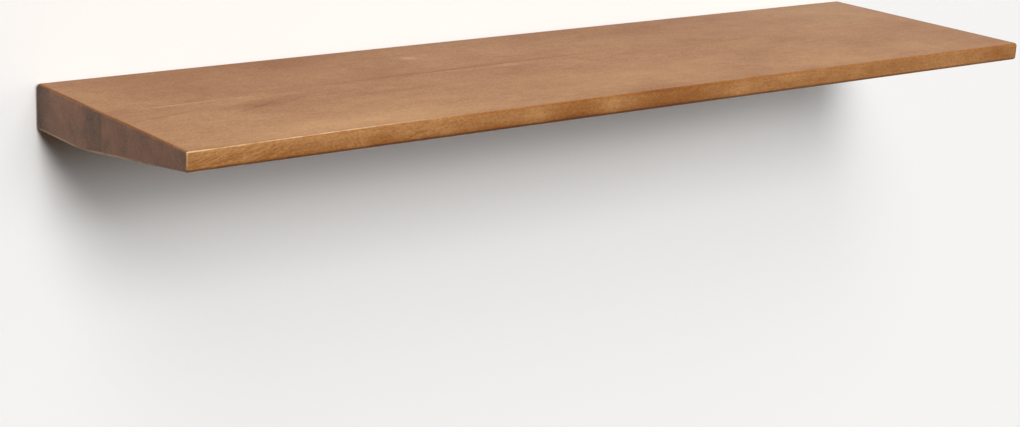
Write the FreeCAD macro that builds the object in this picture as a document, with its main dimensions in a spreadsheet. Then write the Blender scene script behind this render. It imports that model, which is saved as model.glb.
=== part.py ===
import FreeCAD
import Part
import Sketcher
import os

# A floating wall shelf: a tapered plank of two edge-glued boards on a hidden rod bracket.
# Millimetres, +Z up. The origin is the middle of the wall plate's back face, on the wall.
# +X runs along the shelf and +Y goes into the wall, so the front edge is at negative Y.

doc = FreeCAD.newDocument("floating_wall_shelf")
sheet = doc.addObject("Spreadsheet::Sheet", "sizes")

SIZES = (
    # The plank
    ("shelf_length", 914, "end to end, a 36 inch shelf"),
    ("shelf_depth", 244, "wall to front edge"),
    ("back_thickness", 38, "along the wall"),
    ("front_thickness", 16, "along the front edge"),
    ("flat_depth", 76, "level part of the underside, measured from the wall"),
    ("blend_radius", 300, "soft bend from the level underside into the slope"),
    ("back_round", 5, "long edges against the wall"),
    ("front_round", 3, "long edges at the front"),
    ("end_round", 2, "edges around both ends"),
    ("seam_depth", 113, "wall to glue line, the back board's width"),
    # The bracket
    ("plate_inset", 77, "shelf end to plate end"),
    ("plate_height", 25, "flat steel bar"),
    ("plate_thickness", 5, "flat steel bar"),
    ("plate_corner", 6, "corner radius, a router bit's"),
    ("plate_drop", 18.5, "shelf top to the plate's centre line"),
    ("plate_clearance", 0.5, "around the plate in its recess"),
    ("stud_spacing", 406.4, "wall screws at 16 inch studs"),
    ("plug_inset", 15, "plate end to the holes for screws in wall plugs"),
    ("wall_hole", 5.5, "wall screw hole diameter"),
    ("wall_sink", 10.5, "wall screw countersink diameter"),
    # The rods and the screws that hold them
    ("rod_inset", 42.5, "plate end to the outermost rods"),
    ("rod_diameter", 12, "steel bar stock"),
    ("rod_past_seam", 12, "rod tip past the glue line, so that it carries both boards"),
    ("rod_chamfer", 1.5, "lead-in at the tip"),
    ("rod_clearance", 0.3, "radial, in the wood"),
    ("rod_end_room", 6, "free bore past the tip"),
    ("rod_screw", 6, "M6 shank diameter"),
    ("rod_screw_length", 18, "overall, a countersunk screw"),
    ("rod_screw_head", 12, "head diameter"),
    ("rod_screw_key", 4, "hexagon socket across flats"),
    ("rod_screw_key_depth", 2.4, "hexagon socket"),
    ("rod_screw_room", 3, "tapped hole past the screw"),
    ("screw_clearance", 0.2, "radial, screws in plain holes"),
    ("thread_clearance", 0.05, "radial, screws in tapped holes"),
    ("thread_chamfer", 0.8, "at a screw's end"),
    # The locking screws
    ("lock_depth", 40, "wall to the locking screws"),
    ("insert_diameter", 10, "body of the threaded insert"),
    ("insert_length", 10, "overall"),
    ("insert_flange", 13, "flange diameter"),
    ("insert_flange_thickness", 1.2, "flange, flush with the underside"),
    ("insert_clearance", 0.05, "radial, driven into the wood"),
    ("lock_screw", 6, "M6 grub screw"),
    ("lock_screw_length", 12, "overall"),
    ("lock_screw_key", 3, "hexagon socket across flats"),
    ("lock_screw_key_depth", 4, "hexagon socket"),
    ("lock_gap", 0.3, "screw end to rod"),
    # Cuts run this far past the faces they open
    ("overrun", 1, "all cuts"),
)
ROD_COUNT = 4
ROD_NUMBERS = range(1, ROD_COUNT + 1)
SIDES = {"left": "-1", "right": "1"}
HEX_CORNERS = 6
FULL_TURN_DEGREES = 360
COUNTERSINK_DEGREES = 90
ALONG_SHELF = FreeCAD.Vector(1, 0, 0)
INTO_WALL = FreeCAD.Vector(0, 1, 0)
TOWARDS_ROOM = (ALONG_SHELF, 90)
UNDERSIDE = "sizes.plate_drop - sizes.back_thickness"
PLATE_LENGTH = "(sizes.shelf_length - 2 * sizes.plate_inset)"
PLUG_SPACING = f"({PLATE_LENGTH} - 2 * sizes.plug_inset)"
ROD_SPACING = f"(({PLATE_LENGTH} - 2 * sizes.rod_inset) / {ROD_COUNT - 1})"
ROD_LENGTH = "(sizes.seam_depth + sizes.rod_past_seam - sizes.plate_thickness)"

for row, (alias, number, note) in enumerate(SIZES, start=1):
    sheet.set(f"A{row}", alias)
    sheet.set(f"B{row}", str(number))
    sheet.set(f"C{row}", note)
    sheet.setAlias(f"B{row}", alias)
doc.recompute()


def value(expression):
    """The number that an expression in the sheet's names gives."""
    return sheet.evalExpression(expression)


def bind(thing, **expressions):
    """Bind properties of a document object to expressions."""
    for name, expression in expressions.items():
        thing.setExpression(name, expression)


def place(thing, turn=None, **shifts):
    """Turn a piece by (axis, degrees) and bind its place, such as x="sizes.shelf_length / 2"."""
    if turn:
        thing.Placement = FreeCAD.Placement(FreeCAD.Vector(), FreeCAD.Rotation(*turn))
    for axis, expression in shifts.items():
        thing.setExpression(f"Placement.Base.{axis}", expression)


def new_sketch(body, name, plane):
    """An empty sketch on one of the body's own origin planes."""
    sketch = body.newObject("Sketcher::SketchObject", name)
    support = next(o for o in body.Origin.OriginFeatures if o.Role == plane)
    sketch.AttachmentSupport = [(support, "")]
    sketch.MapMode = "FlatFace"
    return sketch


def pin_down(sketch, shape_number, point, x, y):
    """Hold one point of a sketch's shape at two expressions, measured from the sketch's origin."""
    for kind, expression in (("DistanceX", x), ("DistanceY", y)):
        origin = (-1, 1)
        rule = Sketcher.Constraint(kind, *origin, shape_number, point, value(expression))
        number = sketch.addConstraint(rule)
        sketch.setExpression(f"Constraints[{number}]", expression)


def outline(body, name, plane, corners):
    """A closed sketch of straight lines through corners, each a pair of expressions."""
    sketch = new_sketch(body, name, plane)
    points = [FreeCAD.Vector(value(x), value(y), 0) for x, y in corners]
    for start, end in zip(points, points[1:] + points[:1]):
        sketch.addGeometry(Part.LineSegment(start, end))
    for line, (x, y) in enumerate(corners):
        before = (line - 1) % len(corners)
        sketch.addConstraint(Sketcher.Constraint("Coincident", before, 2, line, 1))
        pin_down(sketch, line, 1, x, y)
    return sketch


def pad(body, sketch, length, side="One side"):
    """Pad a sketch by an expression and make it the body's tip."""
    feature = body.newObject("PartDesign::Pad", sketch.Name + "_pad")
    feature.Profile = sketch
    feature.SideType = side
    bind(feature, Length=length)
    body.Tip = feature
    doc.recompute()
    return feature


def rounded(body, base, picks, radius):
    """Fillet the picked edges or faces of the base feature."""
    feature = body.newObject("PartDesign::Fillet", base.Name + "_round")
    feature.Base = (base, picks)
    bind(feature, Radius=radius)
    body.Tip = feature
    doc.recompute()
    return feature


def edges_along(feature, direction, test=lambda middle: True):
    """Names of straight edges along a direction whose middle passes the test."""
    names = []
    for number, edge in enumerate(feature.Shape.Edges, start=1):
        run = edge.lastVertex().Point - edge.firstVertex().Point
        across = run.cross(direction).Length
        if across < Part.Precision.confusion() and test(edge.CenterOfMass):
            names.append(f"Edge{number}")
    return names


def at_depth(point, depth):
    """Whether a point lies at a depth from the wall."""
    return abs(point.y + value(depth)) < Part.Precision.confusion()


def turned(name, corners):
    """A body turned about its own Z axis from corners of (radius, height)."""
    body = doc.addObject("PartDesign::Body", name)
    sketch = outline(body, name + "_half", "XZ_Plane", corners)
    feature = body.newObject("PartDesign::Revolution", name + "_turned")
    feature.Profile = sketch
    feature.ReferenceAxis = (sketch, ["V_Axis"])
    feature.Angle = FULL_TURN_DEGREES
    body.Tip = feature
    doc.recompute()
    return body


def hexagon_socket(body, across, depth):
    """Sink a hexagon socket into the end of a turned screw that lies on its XY plane."""
    whole = body.Shape.Volume
    corners = []
    for corner in range(HEX_CORNERS):
        angle = f"{corner} * {FULL_TURN_DEGREES} deg / {HEX_CORNERS}"
        reach = f"{across} / 2 / cos({FULL_TURN_DEGREES} deg / {2 * HEX_CORNERS})"
        corners.append((f"{reach} * cos({angle})", f"{reach} * sin({angle})"))
    sketch = outline(body, body.Name + "_key", "XY_Plane", corners)
    feature = body.newObject("PartDesign::Pocket", body.Name + "_socket")
    feature.Profile = sketch
    feature.Reversed = True
    bind(feature, Length=depth)
    body.Tip = feature
    doc.recompute()
    assert body.Shape.Volume < whole, f"{body.Name}: the socket cut nothing"


def plank():
    """The glued-up plank: one section, rounded along its edges and around both ends."""
    body = doc.addObject("PartDesign::Body", "plank")
    top = "sizes.plate_drop"
    front_underside = "sizes.plate_drop - sizes.front_thickness"
    corners = [
        ("0", top),
        ("-sizes.shelf_depth", top),
        ("-sizes.shelf_depth", front_underside),
        ("-sizes.flat_depth", UNDERSIDE),
        ("0", UNDERSIDE),
    ]
    section = outline(body, "plank_section", "YZ_Plane", corners)
    solid = pad(body, section, "sizes.shelf_length", "Symmetric")
    long_edges = (
        ("sizes.flat_depth", "sizes.blend_radius"),
        ("0", "sizes.back_round"),
        ("sizes.shelf_depth", "sizes.front_round"),
    )
    for depth, radius in long_edges:
        picks = edges_along(solid, ALONG_SHELF, lambda middle: at_depth(middle, depth))
        solid = rounded(body, solid, picks, radius)
    ends = []
    for number, face in enumerate(solid.Shape.Faces, start=1):
        if abs(face.CenterOfMass.x) > value("sizes.shelf_length / 2 - sizes.overrun"):
            ends.append(f"Face{number}")
    rounded(body, solid, ends, "sizes.end_round")
    return body


def flat_bar(name, length, height, thickness, corner):
    """A flat bar on the wall plane with rounded corners: the steel plate, or the recess for it."""
    body = doc.addObject("PartDesign::Body", name)
    right, top = f"({length}) / 2", f"({height}) / 2"
    left, bottom = f"-({length}) / 2", f"-({height}) / 2"
    corners = [(left, bottom), (right, bottom), (right, top), (left, top)]
    solid = pad(body, outline(body, name + "_outline", "XZ_Plane", corners), thickness)
    rounded(body, solid, edges_along(solid, INTO_WALL), corner)
    return body


def countersunk_holes(body, name, places, diameter, sink, from_room):
    """Countersunk holes through the plate at places along X, sunk from the room or the wall side."""
    whole = body.Shape.Volume
    sketch = new_sketch(body, name + "_centres", "XZ_Plane")
    for number, x in enumerate(places):
        centre = FreeCAD.Vector(value(x), 0, 0)
        sketch.addGeometry(Part.Circle(centre, FreeCAD.Vector(0, 0, 1), value(diameter) / 2))
        pin_down(sketch, number, 3, x, "0")
        rule = sketch.addConstraint(Sketcher.Constraint("Diameter", number, value(diameter)))
        sketch.setExpression(f"Constraints[{rule}]", diameter)
    if from_room:
        sketch.setExpression("AttachmentOffset.Base.z", "sizes.plate_thickness")
    hole = body.newObject("PartDesign::Hole", name)
    hole.Profile = sketch
    doc.recompute()
    hole.Reversed = not from_room
    hole.DepthType = "ThroughAll"
    hole.HoleCutType = "Countersink"
    hole.HoleCutCustomValues = True
    hole.HoleCutCountersinkAngle = COUNTERSINK_DEGREES
    bind(hole, Diameter=diameter, HoleCutDiameter=sink)
    body.Tip = hole
    doc.recompute()
    assert body.Shape.Volume < whole, f"{name}: the holes cut nothing"


def rod_place(number):
    """The X of a rod, counted from the left."""
    return f"{ROD_SPACING} * ({number} - {ROD_COUNT + 1} / 2)"


def wall_plate():
    body = flat_bar(
        "wall_plate",
        PLATE_LENGTH,
        "sizes.plate_height",
        "sizes.plate_thickness",
        "sizes.plate_corner",
    )
    spacings = ("sizes.stud_spacing", PLUG_SPACING)
    wall_places = [f"{side} * {spacing} / 2" for spacing in spacings for side in SIDES.values()]
    countersunk_holes(body, "wall_holes", wall_places, "sizes.wall_hole", "sizes.wall_sink", True)
    screw_hole = "sizes.rod_screw + 2 * sizes.screw_clearance"
    screw_sink = "sizes.rod_screw_head + 2 * sizes.screw_clearance"
    rod_places = [rod_place(number) for number in ROD_NUMBERS]
    countersunk_holes(body, "rod_screw_holes", rod_places, screw_hole, screw_sink, False)
    return body


def support_rod(number):
    """A steel rod from the plate's face into the wood, tapped at its root and chamfered at its tip."""
    tapped = "sizes.rod_screw / 2 + sizes.thread_clearance"
    tapped_depth = "sizes.rod_screw_length - sizes.plate_thickness + sizes.rod_screw_room"
    radius = "sizes.rod_diameter / 2"
    corners = [
        (tapped, "0"),
        (radius, "0"),
        (radius, f"{ROD_LENGTH} - sizes.rod_chamfer"),
        (f"{radius} - sizes.rod_chamfer", ROD_LENGTH),
        ("0", ROD_LENGTH),
        ("0", tapped_depth),
        (tapped, tapped_depth),
    ]
    body = turned(f"support_rod_{number}", corners)
    place(body, TOWARDS_ROOM, x=rod_place(number), y="-sizes.plate_thickness")
    return body


def rod_screw(number):
    """A countersunk socket screw through the plate into a rod, its head flush with the wall side."""
    head, shank, length = "sizes.rod_screw_head / 2", "sizes.rod_screw / 2", "sizes.rod_screw_length"
    corners = [
        ("0", "0"),
        (head, "0"),
        (shank, f"{head} - {shank}"),
        (shank, f"{length} - sizes.thread_chamfer"),
        (f"{shank} - sizes.thread_chamfer", length),
        ("0", length),
    ]
    body = turned(f"rod_screw_{number}", corners)
    hexagon_socket(body, "sizes.rod_screw_key", "sizes.rod_screw_key_depth")
    place(body, TOWARDS_ROOM, x=rod_place(number))
    return body


def lock_place(side):
    """The X of a locking screw, under the outermost rod on its side."""
    return rod_place({"left": 1, "right": ROD_COUNT}[side])


def lock_insert(side):
    """A flanged brass insert, tapped through, flush with the flat underside."""
    bore = "sizes.lock_screw / 2 + sizes.thread_clearance"
    flange, flange_top = "sizes.insert_flange / 2", "sizes.insert_flange_thickness"
    radius, length = "sizes.insert_diameter / 2", "sizes.insert_length"
    corners = [
        (bore, "0"),
        (flange, "0"),
        (flange, flange_top),
        (radius, flange_top),
        (radius, length),
        (bore, length),
    ]
    body = turned(f"lock_insert_{side}", corners)
    place(body, x=lock_place(side), y="-sizes.lock_depth", z=UNDERSIDE)
    return body


def lock_screw(side):
    """A grub screw with its socket below and its point just clear of the rod."""
    radius, length = "sizes.lock_screw / 2", "sizes.lock_screw_length"
    corners = [
        ("0", "0"),
        (radius, "0"),
        (radius, f"{length} - sizes.thread_chamfer"),
        (f"{radius} - sizes.thread_chamfer", length),
        ("0", length),
    ]
    body = turned(f"lock_screw_{side}", corners)
    hexagon_socket(body, "sizes.lock_screw_key", "sizes.lock_screw_key_depth")
    rest = "-sizes.rod_diameter / 2 - sizes.lock_gap - sizes.lock_screw_length"
    place(body, x=lock_place(side), y="-sizes.lock_depth", z=rest)
    return body


def peg(name, radius, height, turn=None, **shifts):
    """A round cutter, standing on its placed base."""
    cutter = doc.addObject("Part::Cylinder", name)
    bind(cutter, Radius=radius, Height=height)
    place(cutter, turn, **shifts)
    return cutter


def rod_bore(number):
    """The blind bore that takes a rod, opened through the recess floor."""
    radius = "sizes.rod_diameter / 2 + sizes.rod_clearance"
    depth = f"sizes.plate_thickness + {ROD_LENGTH} + sizes.rod_end_room"
    return peg(f"rod_bore_{number}", radius, depth, TOWARDS_ROOM, x=rod_place(number))


def lock_hole(side):
    """The stepped hole for an insert and its screw: flange seat, body and the way up to the rod."""
    at = {"x": lock_place(side), "y": "-sizes.lock_depth", "z": f"{UNDERSIDE} - sizes.overrun"}
    flange = "sizes.insert_flange / 2 + sizes.insert_clearance"
    body = "sizes.insert_diameter / 2 + sizes.insert_clearance"
    point = "sizes.lock_screw / 2 + sizes.rod_clearance"
    to_rod = "sizes.back_thickness - sizes.plate_drop"
    return [
        peg(f"flange_seat_{side}", flange, "sizes.overrun + sizes.insert_flange_thickness", **at),
        peg(f"insert_hole_{side}", body, "sizes.overrun + sizes.insert_length", **at),
        peg(f"point_hole_{side}", point, f"sizes.overrun + {to_rod}", **at),
    ]


def joined(name, shapes):
    """Several cutters as one."""
    feature = doc.addObject("Part::MultiFuse", name)
    feature.Shapes = shapes
    return feature


def cut(name, base, tool):
    """One shape less another."""
    feature = doc.addObject("Part::Cut", name)
    feature.Base = base
    feature.Tool = tool
    return feature


def boards():
    """The plank parted at the glue line, each board with its bores, recess and insert holes."""
    whole = plank()
    behind_seam = doc.addObject("Part::Box", "behind_seam")
    bind(
        behind_seam,
        Length="sizes.shelf_length + 2 * sizes.overrun",
        Width="sizes.seam_depth + sizes.overrun",
        Height="sizes.back_thickness + 2 * sizes.overrun",
    )
    place(
        behind_seam,
        x="-sizes.shelf_length / 2 - sizes.overrun",
        y="-sizes.seam_depth",
        z=f"{UNDERSIDE} - sizes.overrun",
    )
    back = doc.addObject("Part::Common", "back_blank")
    back.Base = whole
    back.Tool = behind_seam
    front = cut("front_blank", whole, behind_seam)
    recess = flat_bar(
        "plate_recess",
        f"{PLATE_LENGTH} + 2 * sizes.plate_clearance",
        "sizes.plate_height + 2 * sizes.plate_clearance",
        "sizes.plate_thickness + sizes.plate_clearance + sizes.overrun",
        "sizes.plate_corner + sizes.plate_clearance",
    )
    place(recess, y="sizes.overrun")
    bores = [rod_bore(number) for number in ROD_NUMBERS]
    lock_holes = lock_hole("left") + lock_hole("right")
    back_board = cut("back_board", back, joined("back_cuts", [recess] + bores + lock_holes))
    front_board = cut("front_board", front, joined("front_cuts", bores))
    return [back_board, front_board]


pieces = boards()
pieces.append(wall_plate())
pieces += [support_rod(number) for number in ROD_NUMBERS]
pieces += [rod_screw(number) for number in ROD_NUMBERS]
pieces += [lock_insert(side) for side in SIDES]
pieces += [lock_screw(side) for side in SIDES]
doc.recompute()

for thing in doc.Objects:
    faults = {"Invalid", "Error"} & set(thing.State)
    assert not faults, f"{thing.Label}: {faults}"
for piece in pieces:
    shape = piece.Shape
    assert not shape.isNull() and shape.isValid(), f"{piece.Label}: bad shape"
    assert len(shape.Solids) == 1, f"{piece.Label}: {len(shape.Solids)} solids"

os.makedirs("parts", exist_ok=True)
for piece in pieces:
    piece.Shape.exportStep(f"parts/{piece.Label}.step")
    box = piece.Shape.optimalBoundingBox(True, False)
    print(
        f"{piece.Label}: {piece.Shape.Volume:.0f} mm3, "
        f"x {box.XMin:.1f} to {box.XMax:.1f}, y {box.YMin:.1f} to {box.YMax:.1f}, "
        f"z {box.ZMin:.1f} to {box.ZMax:.1f}"
    )
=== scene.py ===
# %% [markdown]
# Floating wall shelf, dressed for a picture.
#
# The shelf is a tapered plank, glued up from two boards of stained hardwood. It slides onto four steel
# rods that stand out of a hidden wall plate, and two set screws under it stop it sliding off again.
# The measured solids come in first as a fixed frame. Everything below is modelled inside that frame,
# in metres, with X along the shelf, Y into the wall and Z up.

# %% Load the measured frame
import math

import bmesh
import bpy
from mathutils import Matrix, Vector


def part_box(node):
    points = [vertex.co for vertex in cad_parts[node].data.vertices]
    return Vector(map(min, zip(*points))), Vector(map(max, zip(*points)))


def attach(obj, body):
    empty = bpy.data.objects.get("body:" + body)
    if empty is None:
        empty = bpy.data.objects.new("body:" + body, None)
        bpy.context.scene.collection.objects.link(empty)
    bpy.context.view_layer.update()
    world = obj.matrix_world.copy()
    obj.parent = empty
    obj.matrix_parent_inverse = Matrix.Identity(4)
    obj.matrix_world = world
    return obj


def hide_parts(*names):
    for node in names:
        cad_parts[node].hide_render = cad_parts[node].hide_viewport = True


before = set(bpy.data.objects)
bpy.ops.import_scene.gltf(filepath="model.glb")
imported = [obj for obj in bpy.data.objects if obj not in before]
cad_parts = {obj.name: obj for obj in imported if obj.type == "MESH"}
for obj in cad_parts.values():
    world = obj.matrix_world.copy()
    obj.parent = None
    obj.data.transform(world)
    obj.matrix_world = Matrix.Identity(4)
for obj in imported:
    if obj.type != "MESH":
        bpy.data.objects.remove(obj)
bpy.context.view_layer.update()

MM = 0.001

# %% [markdown]
# Blender's operators act on whatever is selected, and the frame arrives selected. So the first helpers
# do what a hand does in the window: let go of everything and take hold of one piece, open it in edit
# mode, pick edges or faces by where they lie, and close it again.


# %% Take hold of one piece and open it
def let_go():
    """Deselect every object."""
    bpy.ops.object.select_all(action="DESELECT")


def hold(piece):
    """Let go of everything and take hold of one piece."""
    let_go()
    piece.select_set(True)
    bpy.context.view_layer.objects.active = piece


def named(name):
    """Name the piece that was just added, and return it."""
    piece = bpy.context.active_object
    piece.name = name
    piece.data.name = name
    return piece


def settle(piece):
    """Put a piece's place, turn and size into its mesh, so its object sits at the origin."""
    hold(piece)
    bpy.ops.object.transform_apply(location=True, rotation=True, scale=True)


def open_mesh(piece, kind="EDGE"):
    """Open a piece in edit mode with nothing in it selected."""
    hold(piece)
    bpy.ops.object.mode_set(mode="EDIT")
    bpy.ops.mesh.select_mode(type=kind)
    bpy.ops.mesh.select_all(action="DESELECT")


def close_mesh():
    """Go back to object mode."""
    bpy.ops.object.mode_set(mode="OBJECT")


print("the frame arrives with", len(bpy.context.selected_objects), "objects selected")

# %% Pick by place
NEAR = 0.01 * MM


def near(value, target):
    """True where a coordinate is on target."""
    return abs(value - target) < NEAR


def pick(piece, kind, test):
    """Select the points, edges or faces whose corners all pass the test, and count them."""
    mesh = bmesh.from_edit_mesh(piece.data)
    chosen = []
    for item in getattr(mesh, kind):
        corners = getattr(item, "verts", [item])
        if all(test(corner.co) for corner in corners):
            chosen.append(item)
    for item in chosen:
        item.select_set(True)
    bmesh.update_edit_mesh(piece.data)
    return len(chosen)


print("places match within", NEAR / MM, "mm")

# %% [markdown]
# The plank. On the real shelf two boards are glued edge to edge, then planed as one: flat on top, flat
# underneath near the wall, and sloping up underneath to a slim front edge. It could be drawn as a
# profile and extruded, but starting from a block and taking wood away follows the joiner. The block is
# cut across where the slope starts, its lower front edge is lifted, and the corners are rounded over.

# %% Plank sizes, from the frame and the joiner's own roundings
back_low, back_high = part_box("back_board")
HALF_LENGTH = back_high.x
TOP = back_high.z
UNDERSIDE = back_low.z
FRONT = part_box("front_board")[0].y
SEAM = back_low.y
FRONT_THICKNESS = 16 * MM
FLAT_DEPTH = 76 * MM
BLEND_RADIUS = 300 * MM
BACK_ROUND = 5 * MM
FRONT_ROUND = 3 * MM
END_ROUND = 2 * MM
lift = (TOP - UNDERSIDE) - FRONT_THICKNESS
slope = math.atan2(lift, -FRONT - FLAT_DEPTH)
plank_size = (2 * HALF_LENGTH, -FRONT, TOP - UNDERSIDE)
print("plank", [round(side / MM) for side in plank_size], "mm, slope",
      round(math.degrees(slope), 2), "degrees")

# %% The block, cut and lifted into a taper
block_length = 2 * (HALF_LENGTH - END_ROUND)
let_go()
bpy.ops.mesh.primitive_cube_add(size=1, location=(0, FRONT / 2, (TOP + UNDERSIDE) / 2),
                                scale=(block_length, -FRONT, TOP - UNDERSIDE))
plank = named("plank")
settle(plank)
open_mesh(plank)
bpy.ops.mesh.select_all(action="SELECT")
bpy.ops.mesh.bisect(plane_co=(0, -FLAT_DEPTH, 0), plane_no=(0, 1, 0))
bpy.ops.mesh.select_all(action="DESELECT")
pick(plank, "edges", lambda co: near(co.y, FRONT) and near(co.z, UNDERSIDE))
bpy.ops.transform.translate(value=(0, 0, lift))
close_mesh()
print("taper lifted", round(lift / MM, 1), "mm at the front")

# %% Round the long edges over
SQUARE = math.pi / 2
FLAT_ANGLE = math.radians(0.1)
BLEND_FACETS = 12
BACK_FACETS = 8
FRONT_FACETS = 6


def round_edges(piece, radius, turn, facets, y, z):
    """Round the edge along the shelf at y and z, where the surface turns by the given angle."""
    open_mesh(piece)
    count = pick(piece, "edges", lambda co: near(co.y, y) and near(co.z, z))
    bpy.ops.mesh.bevel(offset=radius * math.tan(turn / 2), segments=facets, affect="EDGES")
    close_mesh()
    print("rounded", count, "edge to", round(radius / MM, 1), "mm")


round_edges(plank, BLEND_RADIUS, slope, BLEND_FACETS, -FLAT_DEPTH, UNDERSIDE)
open_mesh(plank)
bpy.ops.mesh.select_all(action="SELECT")
bpy.ops.mesh.dissolve_limited(angle_limit=FLAT_ANGLE)
close_mesh()
round_edges(plank, BACK_ROUND, SQUARE, BACK_FACETS, 0, TOP)
round_edges(plank, BACK_ROUND, SQUARE, BACK_FACETS, 0, UNDERSIDE)
round_edges(plank, FRONT_ROUND, SQUARE, FRONT_FACETS, FRONT, TOP)
round_edges(plank, FRONT_ROUND, SQUARE - slope, FRONT_FACETS, FRONT, TOP - FRONT_THICKNESS)

# %% Ease the two ends with a few shrinking steps, like passes of a sanding block
EASE_STEPS = 5


def ease_end(piece, x, radius):
    """Round the rim of the flat end at x by insetting and pushing out its face in small steps."""
    open_mesh(piece, "FACE")
    pick(piece, "faces", lambda co: near(co.x, x))
    inward = outward = 0
    for step in range(1, EASE_STEPS + 1):
        turn = SQUARE * step / EASE_STEPS
        next_inward = radius * (1 - math.cos(turn))
        next_outward = radius * math.sin(turn)
        bpy.ops.mesh.inset(thickness=next_inward - inward, depth=next_outward - outward)
        inward = next_inward
        outward = next_outward
    close_mesh()


ease_end(plank, -block_length / 2, END_ROUND)
ease_end(plank, block_length / 2, END_ROUND)
print("plank has", len(plank.data.polygons), "faces")

# %% [markdown]
# Two boards. The glue line is the one join a visitor can find, so the plank is parted there into the
# two boards it was glued from. Two separate blocks would also do, but then the taper would be planed
# twice. A bisect with fill gives each board its own flat glue face, and a hair of a bevel round that
# face leaves the tiny groove that a finger feels where two boards meet.

# %% Part the plank at the glue line
GLUE_GROOVE = 0.15 * MM


def part_board(name, back):
    """Copy the plank and keep the side of the glue line that this board is."""
    hold(plank)
    bpy.ops.object.duplicate()
    piece = named(name)
    open_mesh(piece)
    bpy.ops.mesh.select_all(action="SELECT")
    bpy.ops.mesh.bisect(plane_co=(0, SEAM, 0), plane_no=(0, 1, 0), use_fill=True,
                        clear_inner=back, clear_outer=not back)
    bpy.ops.mesh.select_all(action="DESELECT")
    pick(piece, "edges", lambda co: near(co.y, SEAM))
    bpy.ops.mesh.bevel(offset=GLUE_GROOVE, segments=1, affect="EDGES")
    close_mesh()
    reach = [point.co.y / MM for point in piece.data.vertices]
    print(name, "from", round(min(reach), 1), "to", round(max(reach), 1), "mm")
    return piece


back_board = part_board("shelf_back_board", True)
front_board = part_board("shelf_front_board", False)
bpy.data.objects.remove(plank)

# %% [markdown]
# Materials need one small function that adds a node, sets it and wires it. Colours are written as sRGB
# hex, the way they are read off a swatch, and one function turns them to the linear values that a
# renderer works in. All patterns read Object coordinates in millimetres, so a ring is as wide on the
# model as on a real board.


# %% Colours
def linear(swatch):
    """Turn an sRGB hex colour into linear red, green, blue and alpha."""
    parts = [int(swatch[i:i + 2], 16) / 255 for i in (1, 3, 5)]
    return [c / 12.92 if c <= 0.04045 else ((c + 0.055) / 1.055) ** 2.4 for c in parts] + [1.0]


def grey(value):
    """A grey colour stop."""
    return (value, value, value, 1)


print("middle grey #808080 is", round(linear("#808080")[0], 3), "in linear light")


# %% Nodes and a new material
def node(tree, kind, inputs=None, take=0, ramp=(), **settings):
    """Add a node with its settings, its links and values and its colour stops. Return one output."""
    new = tree.nodes.new("ShaderNode" + kind)
    for name, value in settings.items():
        setattr(new, name, value)
    for socket, value in (inputs or {}).items():
        if isinstance(value, bpy.types.NodeSocket):
            tree.links.new(value, new.inputs[socket])
        else:
            new.inputs[socket].default_value = value
    for index, (position, colour) in enumerate(ramp):
        stops = new.color_ramp.elements
        stop = stops[index] if index < 2 else stops.new(position)
        stop.position = position
        stop.color = colour
    return new.outputs[take] if new.outputs else None


def empty_tree(owner):
    """Give a material or a world an empty node tree."""
    owner.use_nodes = True
    owner.node_tree.nodes.clear()
    return owner.node_tree


def start_material(name):
    """A new material, its tree, and Object coordinates counted in millimetres."""
    material = bpy.data.materials.new(name)
    tree = empty_tree(material)
    place = node(tree, "TexCoord", take="Object")
    place = node(tree, "VectorMath", {0: place, "Scale": 1 / MM}, operation="SCALE")
    return material, tree, place


print("patterns count", 1 / MM, "units to the metre")

# %% [markdown]
# Stained hardwood under satin lacquer. The boards are plain-sawn, so the grain runs along them in soft
# streaks. Stain goes on blotchy and sinks deep into end grain, which is why the ends are dark. An image
# of wood would stretch on one face or another. A solid pattern does not: every face cuts through the
# same grain. It is put together in small steps, and the first is the grain's own direction, which leans
# and wanders so that no line runs dead straight.

# %% Grain that leans and wanders
WANDER = 70
WANDER_STRETCH = 5
GRAIN_SWAY = (60, 30, 30)
FIGURE_SWAY = (45, 22, 22)
# Noise runs from 0 to 1, so it is taken from its middle to push both ways
MIDDLE = 0.5


def grain(tree, place, lean, seed):
    """Places along the leaning, wandering grain, and board places that sway with it a little."""
    along = node(tree, "Mapping", {
        "Vector": place, "Location": (seed, 0, 0), "Rotation": (0, 0, math.radians(lean))})
    wander = node(tree, "VectorMath", {0: along, 1: (1 / WANDER_STRETCH, 1, 1)}, operation="MULTIPLY")
    wander = node(tree, "TexNoise", {
        "Vector": wander, "Scale": 1 / WANDER, "Detail": 3}, take="Color")
    wander = node(tree, "VectorMath", {0: wander, 1: (MIDDLE, MIDDLE, MIDDLE)}, operation="SUBTRACT")
    bent = node(tree, "VectorMath", {0: wander, 1: GRAIN_SWAY, 2: along}, operation="MULTIPLY_ADD")
    swayed = node(tree, "VectorMath", {0: wander, 1: FIGURE_SWAY, 2: place}, operation="MULTIPLY_ADD")
    return bent, swayed


print("grain wanders over", WANDER * WANDER_STRETCH, "mm of length")

# %% Fibre, pores and blotches of stain
# Name, stretch along the grain, size across it in millimetres, detail, weight in the tone. Real pores
# are a few tenths of a millimetre wide. Pore and speckle are drawn about four times coarser, to show.
PATTERNS = [
    ("streak", 14, 1.8, 3, 0.25),
    ("pore", 3.0, 0.95, 1, 0.37),
    ("speckle", 1.4, 1.5, 2, 0.37),
    ("ripple", 0.8, 14.0, 2, 0.14),
    ("mottle", 1.8, 44.0, 3, 0.38),
]
NOISE_ROUGHNESS = 0.6


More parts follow.
